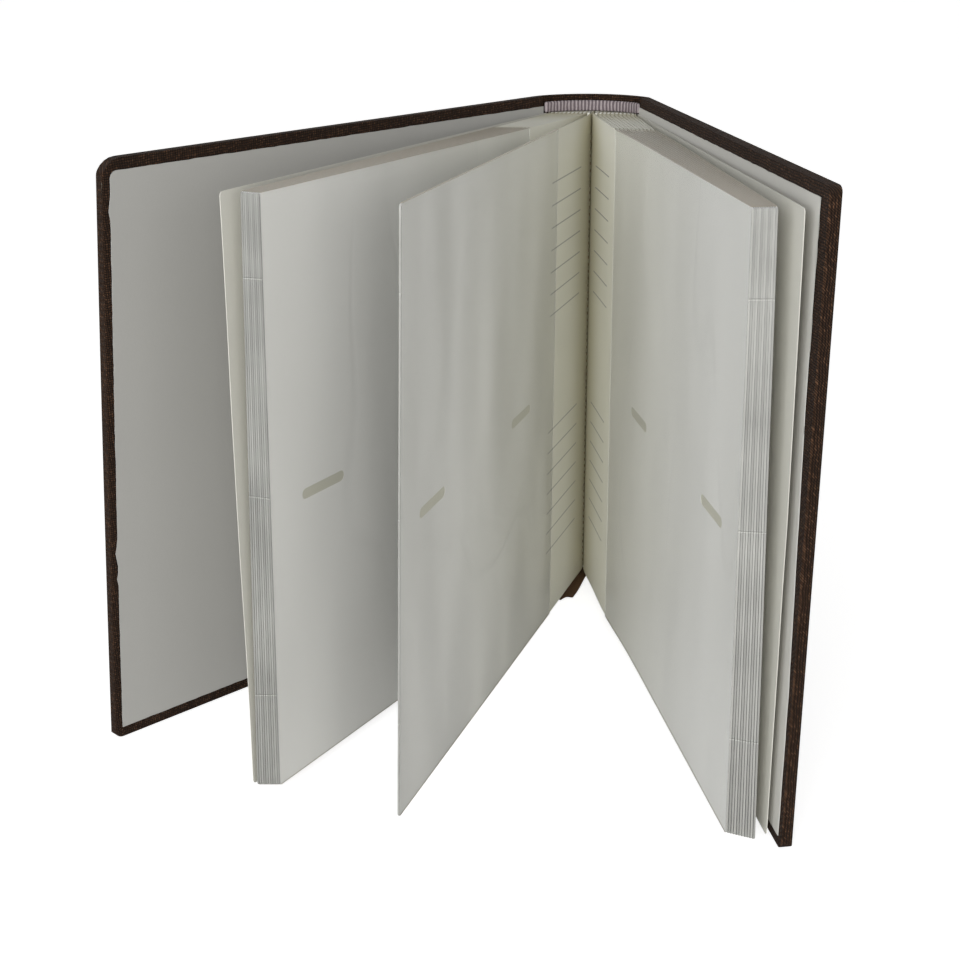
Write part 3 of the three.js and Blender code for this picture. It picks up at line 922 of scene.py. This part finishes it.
# A narrow brown ribbon comes out under the leaves and lies on the table
def addRibbon():
    clearSelection()
    bpy.ops.mesh.primitive_grid_add(x_subdivisions=8, y_subdivisions=24, size=1)
    piece = bpy.context.object
    piece.name = "ribbonMarker"
    piece.data.name = "ribbonMarker"
    piece.scale = (ribbon["width"] * mm, ribbon["length"] * mm, 1)
    settle(piece)
    modify(piece, "SOLIDIFY", thickness=ribbon["thick"] * mm, offset=0)
    for vertex in piece.data.vertices:
        x, y = vertex.co.x / mm, ribbon["length"] / 2 - vertex.co.y / mm
        share = y / ribbon["length"]
        taper = 1 - 3.5 * max(0, share - 0.9) * abs(x) / ribbon["width"]
        lift = ribbon["lift"] + ribbon["arch"] * math.sin(math.pi * min(1, share * 1.3)) ** 2
        vertex.co = ((ribbon["left"] - ribbon["drift"] * share ** 1.6 + x * (0.8 + 0.2 * share)) * mm,
                     (ribbon["back"] - y * taper) * mm,
                     vertex.co.z + (lift + ribbon["cup"] * math.sin(x * 1.1)) * mm)
    piece.data.materials.append(paperMaterial("brownRibbon", ribbon["colour"], 0.9, 0.6))
    smooth(piece, 50)
    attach(piece, "spine")


addRibbon()
print("guards, sewing and ribbon")


# Endpapers

cover = {
    "axisX": 23.8, "axisY": -10.068, "height": 225.0,
    "frontAngle": 33.9, "frontWarp": -3.25, "backAngle": 17.6,
    "innerFace": 3.4, "glue": 0.2, "paper": 0.25,
    "start": 1.0, "reach": 230.4, "low": 4.5, "high": 220.9,
    "rough": 0.22, "corner": 2.5, "grid": (70, 80),
    "nicks": ((80, 3.0, 0.9), (70, 1.6, 0.7), (208, 2.4, 0.9)),    # height, breadth and depth of each
    "narrowing": 6.0, "narrowStart": 60, "narrowLength": 160,     # the back sheet is cut slanting
    # The front pastedown's paper is darker than the back one's: painted shade, the same endpaper in less light
    "frontPaperWithShade": (0.44, 0.435, 0.415), "backPaper": (0.66, 0.65, 0.61),
}


# Turns a flat sheet about a cover's hinge axis; depth is measured from the axis toward the leaves
def hangSheet(piece, side, angleAt, depth, wave=0.0, seed=0.0):
    for vertex in piece.data.vertices:
        s, t, z = vertex.co.x / mm, -vertex.co.y / mm, vertex.co.z / mm
        turn = side * math.radians(angleAt(z / cover["height"]))
        ripple = wave * max(0, noise.noise(Vector((s * 0.006, z * 0.012, seed)))) * min(1, s / 90)
        x = -side * (depth + t + ripple)
        place = Vector((x * math.cos(turn) + s * math.sin(turn), x * math.sin(turn) - s * math.cos(turn)))
        vertex.co = ((side * cover["axisX"] + place.x) * mm, (cover["axisY"] + place.y) * mm, z * mm)


def recalculate(piece):
    takeUp(piece)
    bpy.ops.object.mode_set(mode="EDIT")
    bpy.ops.mesh.select_all(action="SELECT")
    bpy.ops.mesh.normals_make_consistent(inside=False)
    bpy.ops.object.mode_set(mode="OBJECT")


# The pasted sheet keeps a hair's breadth from the cloth, and its fore-edge is worn
def addPastedown(name, side, angleAt, wornCorner, material):
    sheet = flatSheet(name, cover["start"], cover["reach"], cover["low"], cover["high"], *cover["grid"])
    if wornCorner > 0:
        pickVertices(sheet, lambda co: co.x > (cover["reach"] - 0.01) * mm
                     and co.z > (cover["high"] - 0.01) * mm)
        bpy.ops.mesh.bevel(offset=wornCorner * mm, segments=7, affect="VERTICES")
        bpy.ops.object.mode_set(mode="OBJECT")
    for vertex in sheet.data.vertices:
        s, z = vertex.co.x / mm, vertex.co.z / mm
        atForeEdge = s > cover["reach"] - 0.05
        if atForeEdge or z > cover["high"] - 0.05 or z < cover["low"] + 0.05:
            rough = cover["rough"] * noise.noise(Vector((s * 0.25, z * 0.25, side * 7.0)))
            if wornCorner > 0 and atForeEdge:
                rough -= sum(depth * math.exp(-((z - height) / breadth) ** 2)
                             for height, breadth, depth in cover["nicks"])
            if atForeEdge:
                vertex.co.x -= rough * mm
            else:
                vertex.co.z -= (rough if z > 100 else -rough) * mm
            if side > 0 and atForeEdge:
                slant = max(0, z - cover["narrowStart"]) / cover["narrowLength"]
                vertex.co.x -= cover["narrowing"] * slant * mm
    modify(sheet, "SOLIDIFY", thickness=cover["paper"] * mm, offset=0)
    mapFlat(sheet, cover["reach"], cover["low"], cover["high"])
    hangSheet(sheet, side, angleAt, cover["innerFace"] + cover["glue"] + cover["paper"] / 2)
    recalculate(sheet)
    sheet.data.materials.append(material)
    smooth(sheet)
    return sheet


flyleaf = {
    "start": 0.2, "reach": 227.7, "low": 3.0, "high": 218.0, "thick": 0.25, "depth": 4.05,
    "front": (19.95, 19.45), "back": (17.05, 16.5),    # angle at the tail and at the head
    "ripple": 0.7, "corner": 1.6, "grid": (60, 60), "colour": (0.68, 0.67, 0.61),
}


def addFlyleaf(name, side, tail, head, seed, material):
    sheet = flatSheet(name, flyleaf["start"], flyleaf["reach"], flyleaf["low"], flyleaf["high"],
                      *flyleaf["grid"], flyleaf["corner"])
    modify(sheet, "SOLIDIFY", thickness=flyleaf["thick"] * mm, offset=0)
    mapFlat(sheet, flyleaf["reach"], flyleaf["low"], flyleaf["high"])
    hangSheet(sheet, side, lambda share: tail + (head - tail) * share ** 1.4,
              flyleaf["depth"] + flyleaf["thick"] / 2, flyleaf["ripple"], seed)
    recalculate(sheet)
    sheet.data.materials.append(material)
    smooth(sheet)
    return sheet


def addEndpapers():
    # Painted shade: the front pastedown is the same endpaper painted darker
    pasted = paperMaterial("endpaperFrontShaded", cover["frontPaperWithShade"])
    inner = paperMaterial("endpaperBack", cover["backPaper"])
    free = paperMaterial("endpaperFree", flyleaf["colour"])
    front = addPastedown("frontPastedownSheet", -1,
                         lambda share: cover["frontAngle"] + cover["frontWarp"] * (2 * share - 1),
                         cover["corner"], pasted)
    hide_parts("front_pastedown")
    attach(front, "front_cover")
    back = addPastedown("backPastedownSheet", 1, lambda share: cover["backAngle"], 0, inner)
    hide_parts("back_pastedown")
    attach(back, "back_cover")
    frontFly = addFlyleaf("frontFlyleafSheet", -1, *flyleaf["front"], 2.0, free)
    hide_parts("front_flyleaf")
    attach(frontFly, "front_flyleaf")
    backFly = addFlyleaf("backFlyleafSheet", 1, *flyleaf["back"], 9.0, free)
    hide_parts("back_flyleaf")
    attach(backFly, "back_flyleaf")


addEndpapers()
print("endpapers")


# Covers and spine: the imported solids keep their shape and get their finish
def dress(names, material):
    for name in names:
        piece = nodes[name]
        piece.data.materials.clear()
        piece.data.materials.append(material)


dress(["front_cloth"], clothMaterial("clothFront", cover["frontAngle"]))
dress(["back_cloth"], clothMaterial("clothBack", -cover["backAngle"]))
dress(["spine_cloth"], clothMaterial("clothSpine", None))
dress(["spine_lining"], paperMaterial("spineLiningPaper", (0.70, 0.68, 0.60)))
dress(["spine_board", "front_board", "back_board"], paperMaterial("greyBoard", (0.40, 0.35, 0.28), 0.3))


band = {
    "centreY": -30.55, "outer": 28.3, "thick": 1.8, "halfWidth": 20.4,
    "low": 218.2, "high": 222.7, "tailLow": 0.3, "tailHigh": 2.7, "edge": 0.8, "columns": 80,
    "stripes": 27, "wander": 0.7,
    "dark": (0.15, 0.12, 0.13), "pale": ((0.32, 0.265, 0.28), (0.52, 0.46, 0.47)),
}


def bandMaterial():
    material, tree, shader = freshMaterial("stripedBand")
    place = addNode(tree, "ShaderNodeTexCoord")
    x, y, _ = splitAxes(tree, place.outputs["Object"])
    angle = sums(tree, "ARCTAN2", x, sums(tree, "SUBTRACT", y, band["centreY"] * mm))
    sweep = 2 * math.asin(band["halfWidth"] / band["outer"])
    uneven = grain(tree, place.outputs["Object"], 180)["Fac"]
    wander = sums(tree, "MULTIPLY", uneven, band["wander"])
    steps = sums(tree, "MULTIPLY_ADD", angle, band["stripes"] / sweep, wander)
    mask = between(tree, fromMiddle(tree, sums(tree, "FRACT", steps)), -1.0, 0.24, 0.06)
    worn = grain(tree, place.outputs["Object"], 420)["Fac"]
    pale = blendColour(tree, worn, *band["pale"])
    tree.links.new(blendColour(tree, mask, band["dark"], pale), shader.inputs["Base Color"])
    ridge = sums(tree, "SINE", sums(tree, "MULTIPLY", steps, 2 * math.pi * 3))
    both = sums(tree, "ADD", sums(tree, "MULTIPLY", mask, 1.2), sums(tree, "MULTIPLY", ridge, 0.25))
    tree.links.new(bumpFrom(tree, both, 0.8, 0.00025), shader.inputs["Normal"])
    shader.inputs["Roughness"].default_value = 0.75
    shader.inputs["Specular IOR Level"].default_value = 0.3
    return material


# A rolled band of cloth round the back of the leaves
def addBand(name, node, low, high, material):
    clearSelection()
    bpy.ops.mesh.primitive_cube_add(size=1, location=(0, 0, (low + high) / 2 * mm))
    piece = bpy.context.object
    piece.name = name
    piece.data.name = name
    piece.scale = (2 * band["halfWidth"] * mm, band["thick"] * mm, (high - low) * mm)
    settle(piece)
    pickVertices(piece, lambda co: True)
    bpy.ops.mesh.subdivide(number_cuts=1)
    bpy.ops.object.mode_set(mode="OBJECT")
    modify(piece, "BEVEL", width=min(band["edge"], (high - low) * 0.4) * mm, segments=4)
    takeUp(piece)
    for column in range(1, band["columns"]):
        x = (-1 + 2 * column / band["columns"]) * (band["halfWidth"] - 0.9) * mm
        bpy.ops.object.mode_set(mode="EDIT")
        bpy.ops.mesh.select_all(action="SELECT")
        bpy.ops.mesh.bisect(plane_co=(x, 0, 0), plane_no=(1, 0, 0))
        bpy.ops.object.mode_set(mode="OBJECT")
    middle = band["outer"] - band["thick"] / 2
    for vertex in piece.data.vertices:
        turn = math.asin(band["halfWidth"] / middle) * vertex.co.x / mm / band["halfWidth"]
        radius = middle + vertex.co.y / mm
        vertex.co.x = radius * math.sin(turn) * mm
        vertex.co.y = (band["centreY"] + radius * math.cos(turn)) * mm
    piece.data.materials.append(material)
    smooth(piece)
    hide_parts(node)
    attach(piece, "spine")


stripes = bandMaterial()
addBand("headBandRoll", "head_band", band["low"], band["high"], stripes)
addBand("tailBandRoll", "tail_band", band["tailLow"], band["tailHigh"], stripes)
print("covers, spine and bands")
